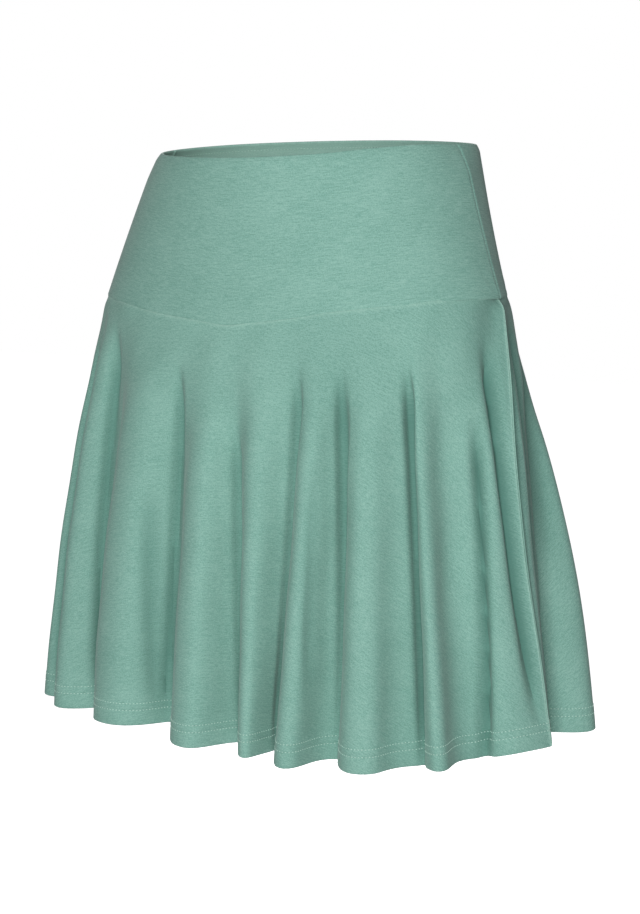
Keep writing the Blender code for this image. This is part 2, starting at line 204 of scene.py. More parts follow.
def hermite(start, leave, end, arrive, t):
    """Cubic from start to end that sets out along leave and arrives along arrive."""
    return (start * (1 - 3 * t**2 + 2 * t**3) + leave * (t - 2 * t**2 + t**3)
            + end * (3 * t**2 - 2 * t**3) + arrive * (t**3 - t**2))


def mix(a, b, share):
    return a + (b - a) * share


def smooth(a, b, x):
    """0 up to a and 1 from b on, with a smooth rise between."""
    t = np.clip((x - a) / (b - a), 0, 1)
    return t * t * (3 - 2 * t)


def bell(distance, width):
    """1 at no distance, and next to nothing at twice the width."""
    return np.exp(-(distance / width) ** 2)


def ripples(across, down, height, first, second, phase):
    """Slow waves of cloth: the product of two, each with its pace across and down."""
    return (height * np.sin(across * first[0] + down * first[1])
            * np.sin(across * second[0] + down * second[1] + phase))


def unit(vectors):
    return vectors / np.maximum(np.linalg.norm(vectors, axis=-1, keepdims=True), 1e-12)


def ring_point(ring, angles, level):
    """Points of a ring at angles and heights, with the ring's outward normals and its directions."""
    width, depth, left, back, egg = (ring[..., k] for k in range(5))
    sine, cosine = np.sin(np.radians(angles)), np.cos(np.radians(angles))
    breadth = width * (1 + egg * cosine)
    flat = np.zeros_like(sine * breadth)
    points = np.stack((breadth * sine + left, back - depth * cosine + flat, level + flat), -1)
    normals = unit(np.stack((sine / breadth, -cosine / depth, flat), -1))
    along = unit(np.stack((-normals[..., 1], normals[..., 0], flat), -1))
    return points, normals, along


def even_angles(ring, first, last, shares):
    """Angles at shares of the ring's length from first to last."""
    steps = np.linspace(first, last, RING_STEPS)
    points = ring_point(ring, steps, 0.0)[0]
    lengths = np.concatenate(((0,), np.cumsum(np.linalg.norm(np.diff(points, axis=0), axis=1))))
    return np.interp(np.asarray(shares) * lengths[-1], lengths, steps)


def lengths_along(grid):
    """Distance along each row of a grid (columns, rows, 3) from its first column."""
    steps = np.linalg.norm(np.diff(grid, axis=0), axis=-1)
    return np.concatenate((np.zeros((1, grid.shape[1])), np.cumsum(steps, axis=0)))


def from_ends(across):
    """Distance from the nearer end of each row, from the distances along it."""
    return np.minimum(across, across[-1] - across)


def across_at(line, spots, across):
    """Where a line, of one angle for each row, crosses the rows of a grid whose angles are spots."""
    return np.array([np.interp(*row) for row in zip(line, spots.T, across.T)])


def grid_normals(grid, ends=None):
    """Outward normals of a grid whose columns run with the angles and whose rows run down."""
    across = np.gradient(grid, axis=0)
    down = np.gradient(grid, axis=1)
    if ends is not None:
        across[0], across[-1] = ends
    return unit(np.cross(down, across))


# ---- making a cloth ----

SHARPEST = math.radians(55)     # two faces that meet at more than this show an edge


def cloth(name, outer, wall, cut, traits, finish, ends=None, rounded_top=True, normals=None):
    """A closed shell from the outer face's grid (columns, rows, 3), with rounded free edges.

    wall is the thickness at each place of the grid, cut the UV place of each, and traits named
    values of each. ends are the directions along the cloth at its first and last column.
    normals are the ways from the inner to the outer face, if they are not the outer face's own.
    """
    columns, rows = outer.shape[:2]
    if normals is None:
        normals = grid_normals(outer, ends)
    wall = np.broadcast_to(wall, (columns, rows))[..., None]
    inner = outer - normals * wall

    def edge(row, outwards):
        beyond = unit(outer[:, row] - outer[:, row - outwards])
        middle, half = (outer[:, row] + inner[:, row]) / 2, wall[:, row] / 2
        turns = [math.pi * k / 4 for k in (1, 2, 3)]
        return [middle + normals[:, row] * half * math.cos(t) + beyond * half * math.sin(t)
                for t in turns]

    lower = np.stack(edge(rows - 1, 1), 1)
    upper = np.stack([*reversed(edge(0, -1))], 1) if rounded_top else np.zeros((columns, 0, 3))
    section = np.concatenate((outer, lower, inner[:, ::-1], upper), 1)
    rank = np.concatenate((np.arange(rows), [rows - 1] * 3, np.arange(rows)[::-1],
                           [0] * upper.shape[1])).astype(int)
    # inside marks the lining and the rounded edges, which the jersey lightens with painted light
    inside = np.concatenate((np.zeros(rows), (0.25, 0.5, 0.75), np.ones(rows),
                             (0.75, 0.5, 0.25)[:upper.shape[1]]))
    count = section.shape[1]
    corner = np.arange(columns * count).reshape(columns, count)
    a, b = corner[:-1], corner[1:]
    faces = np.stack((a, np.roll(a, -1, 1), np.roll(b, -1, 1), b), -1).reshape(-1, 4).tolist()
    for column, turned in ((0, False), (columns - 1, True)):
        line = corner[column]
        facing = line[rows + 3:2 * rows + 3][::-1]
        caps = [(line[r], facing[r], facing[r + 1], line[r + 1]) for r in range(rows - 1)]
        caps.append((line[rows - 1], facing[rows - 1], *line[rows:rows + 3][::-1]))
        if rounded_top:
            caps.append((line[0], *line[2 * rows + 3:][::-1], facing[0]))
        faces += [tuple(int(i) for i in (cap[::-1] if turned else cap)) for cap in caps]
    mesh = bpy.data.meshes.new(name)
    mesh.from_pydata(section.reshape(-1, 3).tolist(), [], faces)
    loops = np.empty(len(mesh.loops), int)
    mesh.loops.foreach_get("vertex_index", loops)
    places = cut[:, rank].reshape(-1, 2)
    mesh.uv_layers.new(name="cut").data.foreach_set("uv", places[loops].astype(np.float32).ravel())
    traits = {key: np.broadcast_to(value, (columns, rows))[:, rank] for key, value in traits.items()}
    traits["inside"] = np.broadcast_to(inside, (columns, count))
    for key, value in traits.items():
        mesh.attributes.new(key, "FLOAT", "POINT").data.foreach_set(
            "value", np.ascontiguousarray(value, dtype=np.float32).ravel())
    piece = bpy.data.objects.new(name, mesh)
    bpy.context.scene.collection.objects.link(piece)
    mesh.shade_smooth()
    mesh.set_sharp_from_angle(angle=SHARPEST)
    mesh.materials.append(finish)
    return piece


# ---- waistband ----

BAND_SHARES = np.concatenate((np.linspace(0, 0.06, 9), np.linspace(0.085, 0.94, 46),
                              np.linspace(0.955, 1, 9)))
BAND_COLUMNS, BAND_WIDTH = 110, 0.36                # of a piece, besides the short steps at its ends
BAND_END_STEPS = (0.0005, 0.0011, 0.0019)

# How the band's face leaves its rings: how far in metres, and over what length of cloth
SIDE_SWELL = 0.0040                                 # out beside the side seams
SIDE_SWELL_FRONT, SIDE_SWELL_BACK = 0.035, 0.016
SIDE_SWELL_FROM = 0.2                               # of the band's depth, above which it sets in
SIDE_GROOVE, SIDE_GROOVE_WIDTH = 0.0008, 0.0009     # in at the side seams
SEAM_GROOVE, SEAM_GROOVE_WIDTH = 0.0005, 0.0010     # in at the seam with the skirt
TOP_TURN, TOP_TURN_DEPTH = 0.0016, 0.007            # in towards the upper edge, where it is folded
PUCKER_RIM = 0.6                                    # of a pucker's depth, out beside it


def band_ring(share):
    waist, middle, seam = (RINGS[name] for name in ("waist", "band middle", "band seam"))
    share = np.asarray(share)[..., None]
    return (waist * (1 - share) * (1 - 2 * share) + middle * 4 * share * (1 - share)
            + seam * share * (2 * share - 1))


def band_point(angles, shares):
    level = mix(around(WAIST_LEVEL, angles), around(SEAM_LEVEL, angles), shares)
    return ring_point(band_ring(shares), angles, level)


def under_band(angles, gap=GAP, inset=0.0):
    """Places a gap below the band's lower edge, where a piece is sewn on, inset from its outer face."""
    one = np.ones_like(angles)
    edge, outward, _ = band_point(angles, one)
    down = unit(edge - band_point(angles, one * 0.95)[0])
    outward = unit(outward - down * np.sum(outward * down, -1, keepdims=True))
    return edge + down * gap - outward * inset


def near_ends(count, length, steps):
    """Shares from 0 to 1, even but for a few short steps beside both ends."""
    near = np.array(steps) / length
    return np.concatenate(((0,), near, np.linspace(0, 1, count + 1)[1:-1], 1 - near[::-1], (1,)))


def band_piece(name, first, last, side_swell, finish):
    """The band from one side seam to the other, and its lining's grid; side_swell is a length."""
    half_gap = math.degrees(GAP / 2 / RINGS["waist"][1])
    shares = near_ends(BAND_COLUMNS, BAND_WIDTH, BAND_END_STEPS)
    angles = even_angles(RINGS["band middle"], first + half_gap, last - half_gap, shares)
    spots, grid_shares = np.meshgrid(angles, BAND_SHARES, indexing="ij")
    outer, outward, along = band_point(spots, grid_shares)
    across = lengths_along(outer)
    drop = grid_shares * BAND_DEPTH
    from_seam = from_ends(across)
    lift = SIDE_SWELL * np.exp(-from_seam / side_swell) * smooth(0, SIDE_SWELL_FROM, grid_shares)
    lift -= SIDE_GROOVE * bell(from_seam, SIDE_GROOVE_WIDTH)
    lift -= SEAM_GROOVE * bell(BAND_DEPTH - drop, SEAM_GROOVE_WIDTH)
    lift -= TOP_TURN * np.maximum(1 - drop / TOP_TURN_DEPTH, 0) ** 2
    for angle, share, depth, wide, long, lean in PUCKERS:
        if first < angle < last:
            x = across - across_at(np.full(len(BAND_SHARES), angle), spots, across)
            y = (grid_shares - share) * BAND_DEPTH
            turn = math.radians(lean)
            x, y = x * math.cos(turn) + y * math.sin(turn), y * math.cos(turn) - x * math.sin(turn)
            lift -= depth * np.exp(-(x / wide) ** 2 - (y / long) ** 2)
            lift += PUCKER_RIM * depth * np.exp(-((x - 2 * wide) / wide) ** 2 - (y / long) ** 2)
    outer = outer + outward * lift[..., None]
    cut = np.stack((across, -drop), -1) / CUT_SHEET + CUT_BAND
    piece = cloth(name, outer, BAND_WALL, cut, {"fold": 0.0, "edge": 0.0}, finish,
                  ends=(along[0], along[-1]))
    return piece, outer - grid_normals(outer) * BAND_WALL


# ---- skirt ----

HALF_FOLD = 17              # columns from a crest to the next valley
NEAR_VALLEY = 1.4           # how much closer together they stand in the valley
SKIRT_SHARES = np.concatenate((
    (0, 0.002, 0.005, 0.009, 0.014, 0.021, 0.030, 0.042, 0.055), np.linspace(0.07, 0.925, 64),
    1 - np.array((0.0200, 0.0182, 0.0174, 0.0167, 0.0160, 0.0152, 0.0140, 0.0126, 0.0119, 0.0112,
                  0.0105, 0.0098, 0.0085, 0.0065, 0.0042, 0.0024, 0.0010, 0)) / SKIRT_LENGTH))
PANEL_WIDTH = 0.9           # of a panel along its folds, about
PANEL_END_STEPS = (0.0005, 0.0010, 0.0017, 0.0030)
COLUMN_ROOM = 0.2           # of a column, kept free between those steps and the even columns
TOP_FIT = 8                 # the power with which the top's fit to the band fades downwards

# How a panel's face leaves the folds: how far in metres, and over what length of cloth
UNDER_SEAM, UNDER_SEAM_FROM, UNDER_SEAM_TO = 0.0014, 0.0040, 0.050  # out under the waistband
RIPPLES = (0.0005, (61, 23), (9, 37), 0.0)          # slow waves all over
HEM_PROUD, HEM_PROUD_FROM, HEM_PROUD_TO = 0.0004, -0.001, 0.002     # out where the hem is turned
HEM_GROOVE, HEM_GROOVE_WIDTH = 0.0003, 0.0009       # in at its rows of stitches
PANEL_SWELL = 0.0030                                # out beside the side seams
PANEL_SWELL_FRONT, PANEL_SWELL_BACK = 0.030, 0.010
RIDGE, RIDGE_PLACE, RIDGE_WIDTH = 0.0008, 0.0008, 0.0006    # out beside a side seam
NOTCH, NOTCH_WIDTH = 0.0006, 0.0004                 # in at the seam itself
SEAM_LAP = np.array((0.0007, 0.0004, 0.0001))       # of the first rows up over the band's edge
LAP_OUT = 0.6                                       # of the lap, out from the band
HEM_THICKER, HEM_THINS = 0.8, 0.0012                # than one layer, as the hem is turned
CLEAR_TOP, CLEAR_SEAM = 0.03, 0.010                 # no swell or crease at the very top and seams
CREASE_SETS_IN, CREASE_FADES = (-0.03, 0.12), (-0.2, 0.02)  # shares of the length about its ends
SEAM_HIGHLIGHT_PLACE, SEAM_HIGHLIGHT_WIDTH = 0.0007, 0.0005             # of the painted highlight beside a side seam
TOP_HIGHLIGHT, TOP_HIGHLIGHT_WIDTH = 0.5, 0.0010              # and of the one under the waistband
VALLEY_SHADE, VALLEY_SHADE_POWER = 0.35, 8          # painted shade in the floors of the folds
CREASE_SHADE_DEPTH, CREASE_SHADE_MOST = 0.008, 1.2  # the depth of a crease in full painted shade


def fold_growth(share, start):
    """How much of its full depth a fold has at a share of the skirt's length."""
    def ramp(x):
        return (x + np.hypot(x, START_SOFTNESS)) / 2
    grown = np.maximum(ramp(share - start) - ramp(-start), 0) / (ramp(1 - start) - ramp(-start))
    return grown ** FOLD_SPREAD


def leaning(top, hem, shares):
    """Angle at shares of the skirt's length of a line down it, from its angles at seam and hem."""
    angles = mix(top, hem, shares)
    return angles + around(LEAN, angles) * 4 * shares * (1 - shares)


def skirt_ring(angles, shares):
    """The ring that the skirt's folds stand out from."""
    bulge = around(HIP_BULGE, angles)
    blend = (shares + bulge * shares * (1 - shares))[..., None]
    return mix(RINGS["band seam"], RINGS["hem"], blend)


def skirt_cloth():
    """The skirt's outer face once round from the first crest, with each place's angle and depth."""
    nodes = []
    for row, following in zip(FOLDS, FOLDS[1:] + FOLDS[:1]):
        crest, valley, (level, start) = row[:5], row[5:10], row[10:]
        nodes.append((*crest, level, start))
        nodes.append((*valley[:2], -valley[2], *valley[3:],
                      mix(level, following[10], VALLEY_LEVEL) - VALLEY_DROP,
                      mix(start, following[11], 0.5)))
    nodes.append((nodes[0][0] + 360, nodes[0][1] + 360, *nodes[0][2:]))
    top, hem, out, before, behind, level, start = np.array(nodes).T
    shares = SKIRT_SHARES[None]
    angles = leaning(top[:, None], hem[:, None], shares)
    growth = fold_growth(shares, start[:, None])
    heights = mix(around(SEAM_LEVEL, top)[:, None], level[:, None], shares)
    points, normals, along = ring_point(skirt_ring(angles, shares + 0 * angles), angles, heights)
    points = points + normals * (out[:, None] * growth)[..., None]
    arrive, leave = (mix(1.0, fullness[:, None], np.minimum(growth * FULL_EARLY, 1))[..., None] * along
                     for fullness in (before, behind))
    fine = np.linspace(0, 1, FOLD_STEPS)
    even = np.linspace(0, 1, HALF_FOLD + 1)
    grid = np.empty((HALF_FOLD * (len(nodes) - 1) + 1, shares.shape[1], 3))
    place = np.empty(grid.shape[:2])
    depth = np.empty(grid.shape[:2])
    for k in range(len(nodes) - 1):
        for row in range(shares.shape[1]):
            a, b = points[k, row], points[k + 1, row]
            base = ring_point(skirt_ring(angles[k:k + 2, row], SKIRT_SHARES[row] + np.zeros(2)),
                              angles[k:k + 2, row], 0.0)[0]
            run = np.linalg.norm(base[1] - base[0])
            curve = hermite(a, run * leave[k, row], b, run * arrive[k + 1, row], fine[:, None])
            length = np.concatenate(((0,), np.cumsum(np.linalg.norm(np.diff(curve, axis=0), axis=1))))
            length /= length[-1]
            closer = even**NEAR_VALLEY if out[k] < 0 else 1 - (1 - even)**NEAR_VALLEY
            columns = slice(k * HALF_FOLD, (k + 1) * HALF_FOLD + 1)
            for axis in range(3):
                grid[columns, row, axis] = np.interp(closer, length, curve[:, axis])
            share = np.interp(closer, length, fine)
            place[columns, row] = mix(angles[k, row], angles[k + 1, row], closer)
            sunk = hermite(out[k] > 0, 0, out[k + 1] > 0, 0, share)
            depth[columns, row] = (1 - sunk) * growth[k, row]
    error = under_band(place[:, 0]) - grid[:, 0]
    grid += error[:, None] * ((1 - SKIRT_SHARES) ** TOP_FIT)[None, :, None]
    return grid, place, depth


def crease(spots, across, shade):
    """The lift that the creases give a panel, and its painted shade with theirs."""
    lift = np.zeros(across.shape)
    below_band = smooth(0, CLEAR_TOP, SKIRT_SHARES)
    beside_seam = smooth(0, CLEAR_SEAM, from_ends(across))
    for top, hem, start, end, deep, wide in CREASES:
        for turn in (-360, 0):
            line = leaning(top, hem, SKIRT_SHARES) + turn
            if spots[0, 0] < line[0] < spots[-1, 0]:
                strength = smooth(*(start + part for part in CREASE_SETS_IN), SKIRT_SHARES)
                strength = strength * (1 - smooth(*(end + part for part in CREASE_FADES), SKIRT_SHARES))
                pressed = strength * bell(across - across_at(line, spots, across), wide)
                lift -= deep * pressed * below_band * beside_seam
                shade = shade + np.minimum(deep / CREASE_SHADE_DEPTH, CREASE_SHADE_MOST) * pressed
    return lift, shade


def skirt_panel(name, first_fold, last_fold, side_swell, finish):
    """One quarter-circle panel between the side seams by two folds, and its two faces' grids."""
    grid, place, depth = whole_skirt
    total = grid.shape[0] - 1
    first, last = ((2 * fold + SEAM_BEYOND_CREST) * HALF_FOLD for fold in (first_fold, last_fold))
    near = np.array(PANEL_END_STEPS) / PANEL_WIDTH * (last - first)
    even = np.arange(math.ceil(first + near[-1] + COLUMN_ROOM),
                     math.floor(last - near[-1] - COLUMN_ROOM) + 1)
    columns = np.concatenate(((first,), first + near, even, last - near[::-1], (last,)))

    def pick(values):
        wrapped = columns % total
        low = np.floor(wrapped).astype(int)
        part = (wrapped - low).reshape((-1,) + (1,) * (values.ndim - 1))
        return mix(values[low], values[low + 1], part)

    outer, sunk = pick(grid), pick(depth)
    spots = pick(place) + 360 * np.floor(columns / total)[:, None]
    ends = (unit(outer[1] - outer[0]), unit(outer[-1] - outer[-2]))
    outer[0] += ends[0] * GAP / 2
    outer[-1] -= ends[1] * GAP / 2
    across = lengths_along(outer)
    shares_across = across / across[-1]
    from_seam = from_ends(across)
    down = SKIRT_SHARES * SKIRT_LENGTH
    above_edge = SKIRT_LENGTH - down
    # Shade painted into the floors of the folds, with more along the creases
    lift, shade = crease(spots, across, VALLEY_SHADE * sunk**VALLEY_SHADE_POWER)
    lift += UNDER_SEAM * (1 - np.exp(-down / UNDER_SEAM_FROM)) * np.exp(-down / UNDER_SEAM_TO)
    lift += ripples(shares_across, down, *RIPPLES)
    lift += HEM_PROUD * (1 - smooth(HEM_DEPTH + HEM_PROUD_FROM, HEM_DEPTH + HEM_PROUD_TO, above_edge))
    for row in HEM_ROWS:
        lift -= HEM_GROOVE * bell(above_edge - row, HEM_GROOVE_WIDTH)
    lift += RIDGE * bell(from_seam - RIDGE_PLACE, RIDGE_WIDTH)
    lift += PANEL_SWELL * np.exp(-from_seam / side_swell) * smooth(0, CLEAR_TOP, SKIRT_SHARES)
    lift -= NOTCH * bell(from_seam, NOTCH_WIDTH)
    normals = grid_normals(outer, ends)
    outer = outer + normals * lift[..., None]
    upward = unit(outer[:, 0] - outer[:, 3])[:, None]
    outer[:, :3] += upward * SEAM_LAP[:, None] + normals[:, :3] * LAP_OUT * SEAM_LAP[:, None]
    wall = CLOTH_WALL * (1 + HEM_THICKER * (1 - smooth(HEM_DEPTH, HEM_DEPTH + HEM_THINS, above_edge)))
    turn = (shares_across - 0.5) * math.pi / 2
    radius = CUT_RADIUS + down
    cut = np.stack((radius * np.sin(turn), -radius * np.cos(turn)), -1) / CUT_SHEET + CUT_PANEL
    # Painted highlights on the ridge beside each side seam and along the lap under the waistband
    edge = bell(from_seam - SEAM_HIGHLIGHT_PLACE, SEAM_HIGHLIGHT_WIDTH) + TOP_HIGHLIGHT * bell(down, TOP_HIGHLIGHT_WIDTH)
    piece = cloth(name, outer, wall, cut, {"fold": shade, "edge": edge}, finish, normals=normals)
    return piece, outer, outer - normals * wall[..., None]


# ---- shorts ----

SHORTS_COLUMNS, SEAT_ROWS = 96, 34
SHORTS_SEAT = np.sin(np.linspace(0, math.pi / 2, SEAT_ROWS))
SHORTS_LEG = np.concatenate((np.linspace(0, 0.72, 12)[1:], np.linspace(0.75, 1.0, 9)))
SHORTS_DOWN = np.concatenate((SHORTS_SEAT * SEAT_DEPTH, SEAT_DEPTH + SHORTS_LEG * LEG_DEPTH))
SHORTS_LENGTH = SEAT_DEPTH + LEG_DEPTH
SHORTS_RIPPLES = (0.0006, (70, 25), (0, 50), 1.3)
SHORTS_CLEAR_SEAM, SHORTS_CLEAR_TOP = 0.02, 0.03    # where they fade out
LEG_HIGHLIGHT_PLACE, LEG_HIGHLIGHT_WIDTH = 0.002, 0.0012      # of the painted highlight beside a seam
LEG_GROOVE, LEG_GROOVE_WIDTH = 0.0004, 0.002        # in at the leg's row of stitches


def leg_point(angles, drop, side):
    width, depth, out, back = (mix(a, b, drop) for a, b in zip(LEG_AT_CROTCH, LEG_AT_HEM))
    turn = np.radians(angles)
    return np.stack((side * (out - width * np.cos(turn)), back - depth * np.sin(turn),
                     mix(CROTCH_LEVEL, SHORTS_LEVEL, drop) + 0 * turn), -1)


def shorts_leg(name, side, finish):
    """One leg with its half of the seat; side is 1 for the wearer's left and -1 for the right."""
    across = np.linspace(0, 1, SHORTS_COLUMNS + 1)
    angles = even_angles(RINGS["band seam"], 0, 180, across) * side
    turns = 360 * mix(LEG_SEAM, 1 - LEG_SEAM, across)
    middle = np.array((RINGS["band seam"][2], 0, 0))
    top = under_band(angles, SHORTS_GAP, CLOTH_WALL + 3 * GAP)
    top[:, 0] += side * GAP / 2
    rows = []
    for k in range(SEAT_ROWS):
        turn = math.pi / 2 * k / (SEAT_ROWS - 1)
        start = top.copy()
        start[:, 1] += SEAT_BULGE * math.sin(2 * turn) * np.maximum(0, -np.cos(np.radians(angles)))
        points = mix(start, leg_point(turns, 0.0, side) + middle, 1 - math.cos(turn))
        points[:, 2] = mix(top[:, 2], CROTCH_LEVEL, math.sin(turn))
        rows.append(points)
    rows += [leg_point(turns, drop, side) + middle for drop in SHORTS_LEG]
    outer = np.stack(rows, 1)
    if side < 0:
        outer = outer[::-1]
    width = lengths_along(outer)
    from_seam = from_ends(width)
    down = SHORTS_DOWN
    normals = grid_normals(outer)
    lift = ripples(width, down, *SHORTS_RIPPLES)
    lift = lift * smooth(0, SHORTS_CLEAR_SEAM, from_seam) * smooth(0, SHORTS_CLEAR_TOP, down)
    lift -= LEG_GROOVE * bell(SHORTS_LENGTH - down - LEG_HEM_ROW, LEG_GROOVE_WIDTH)
    outer = outer + normals * lift[..., None]
    cut = np.stack((width - width[-1] / 2, -down + 0 * width), -1) / CUT_SHEET + CUT_LEG
    # The edge trait paints a highlight beside the leg's seams
    traits = {"fold": 0.0, "edge": bell(from_seam - LEG_HIGHLIGHT_PLACE, LEG_HIGHLIGHT_WIDTH)}
    piece = cloth(name, outer, CLOTH_WALL, cut, traits, finish, rounded_top=False)
    return piece, outer


# ---- finishes ----

class Amount:
    """A number that varies over a surface; arithmetic on it adds Math nodes."""

    def __init__(self, finish, socket):
        self.finish, self.socket = finish, socket

    def _with(self, operation, *operands, clamp=False):
        node = self.finish.node("ShaderNodeMath", {"operation": operation, "use_clamp": clamp},
                                dict(enumerate(operands)))
        return Amount(self.finish, node.outputs[0])

    def __add__(self, other):
        return self._with("ADD", self, other)

    def __radd__(self, other):
        return self._with("ADD", other, self)

    def __sub__(self, other):
        return self._with("SUBTRACT", self, other)

    def __rsub__(self, other):
        return self._with("SUBTRACT", other, self)

    def __mul__(self, other):
        return self._with("MULTIPLY", self, other)

    def __rmul__(self, other):
        return self._with("MULTIPLY", other, self)

    def clamped(self):
        return self._with("ADD", self, 0.0, clamp=True)


class Finish:
    """A material under construction."""

    def __init__(self, name, **constants):
        self.material = bpy.data.materials.new(name)
        self.material.use_nodes = True
        self.shader = self.material.node_tree.nodes["Principled BSDF"]
        for socket, value in constants.items():
            self.shader.inputs[socket.replace("_", " ")].default_value = value

    def plug(self, socket, value):
        if isinstance(value, Amount):
            value = value.socket
        if isinstance(value, bpy.types.NodeSocket):
            self.material.node_tree.links.new(value, socket)
        elif isinstance(value, (int, float)) or len(value) == len(socket.default_value):
            socket.default_value = value
        else:
            socket.default_value = (*value, 1)

    def node(self, kind, settings, sockets):
        node = self.material.node_tree.nodes.new(kind)
        for key, value in settings.items():
            setattr(node, key, value)
        for key, value in sockets.items():
            self.plug(node.inputs[key], value)
        return node

    def trait(self, name):
        attribute = self.node("ShaderNodeAttribute", {"attribute_name": name}, {})
        return Amount(self, attribute.outputs["Fac"])

    def specks(self, place, size, detail, seed=0.0):
        """Noise whose specks are about size metres along and down the cut."""
        scaled = self.node("ShaderNodeVectorMath", {"operation": "MULTIPLY_ADD"},
                           {0: place, 1: (CUT_SHEET / size[0], CUT_SHEET / size[1], 1.0),
                            2: (seed, seed * 1.7, 0.0)})
        noise = self.node("ShaderNodeTexNoise", {"noise_dimensions": "2D"},
                          {"Vector": scaled.outputs[0], "Scale": 1.0, "Detail": detail,
                           "Roughness": 0.55})
        return Amount(self, noise.outputs[0])

    def blend(self, amount, first, second):
        """The colour that lies by an amount from the first to the second."""
        return self.node("ShaderNodeMix", {"data_type": "RGBA"},
                         {0: amount, 6: first, 7: second}).outputs[2]


SAGE_LIGHT = (0.262, 0.468, 0.400)
SAGE_DARK = (0.158, 0.335, 0.278)
SAGE_PAINTED_SHADE = (0.080, 0.205, 0.168)       # painted shade in the folds and along the creases
SAGE_PAINTED_LIGHT = (0.40, 0.62, 0.53)       # painted highlights along the seams, and a little of it as painted light on the lining
THREAD_LIGHT = (0.47, 0.70, 0.61)
# How much of each painted mark is mixed in: shade in the folds, light on the lining, highlights by the
# seams
FOLD_SHADE, LINING_PAINTED_LIGHT, SEAM_PAINTED_HIGHLIGHT = 0.82, 0.5, 0.5
YARN_CONTRAST, PATCH_CONTRAST, LOOP_CONTRAST = 1.7, 0.5, 1.9
LOOP_HEIGHT = 0.0004
STREAK_SIZE, PATCH_SIZE, LOOP_SIZE = (0.0160, 0.0009), (0.040, 0.030), (0.0008, 0.0010)


def jersey(name, yarn_size, streaky):
    """Sage single jersey, spun from a light and a dark fibre, so it is finely streaked, with painted
    shade and light.
    """
    finish = Finish(name, Roughness=0.86, Sheen_Weight=0.12, Sheen_Roughness=0.5,
                    Specular_IOR_Level=0.25)
    place = finish.node("ShaderNodeUVMap", {"uv_map": "cut"}, {}).outputs["UV"]
    yarn = finish.specks(place, yarn_size, 2.0)
    streak = finish.specks(place, STREAK_SIZE, 1.0, 3.1)
    patch = finish.specks(place, PATCH_SIZE, 2.0, 7.7)
    loops = finish.specks(place, LOOP_SIZE, 1.0, 5.3)
    heather = ((yarn - 0.5) * YARN_CONTRAST + (streak - 0.5) * streaky
               + (patch - 0.5) * PATCH_CONTRAST + (loops - 0.5) * LOOP_CONTRAST + 0.5).clamped()
    colour = finish.blend(heather, SAGE_DARK, SAGE_LIGHT)
    # Painted shade in the folds and creases, painted light on the lining and rounded edges, painted
    # highlights along the seams
    for trait, strength, tint in (("fold", FOLD_SHADE, SAGE_PAINTED_SHADE), ("inside", LINING_PAINTED_LIGHT, SAGE_PAINTED_LIGHT),
                                  ("edge", SEAM_PAINTED_HIGHLIGHT, SAGE_PAINTED_LIGHT)):
        colour = finish.blend((finish.trait(trait) * strength).clamped(), colour, tint)
    finish.plug(finish.shader.inputs["Base Color"], colour)
    finish.plug(finish.shader.inputs["Roughness"], 0.90 - 0.10 * heather)
    height = loops * 0.5 + yarn * 0.35 + streak * 0.15
    bump = finish.node("ShaderNodeBump", {},
                       {"Strength": 0.35, "Distance": LOOP_HEIGHT, "Height": height})
    finish.plug(finish.shader.inputs["Normal"], bump.outputs["Normal"])
    return finish.material


def thread(name, colour):
    """Sewing thread, twisted from two strands."""
    finish = Finish(name, Roughness=0.6, Sheen_Weight=0.1)
    twist = finish.node("ShaderNodeTexWave", {"wave_type": "BANDS", "bands_direction": "DIAGONAL"},
                        {"Vector": finish.node("ShaderNodeTexCoord", {}, {}).outputs["Object"],
                         "Scale": 900.0, "Distortion": 1.0})
    strands = Amount(finish, twist.outputs["Fac"])
    finish.plug(finish.shader.inputs["Base Color"],
                finish.blend(strands * 0.5, colour, tuple(part * 0.7 for part in colour)))
    return finish.material


# ---- stitches ----

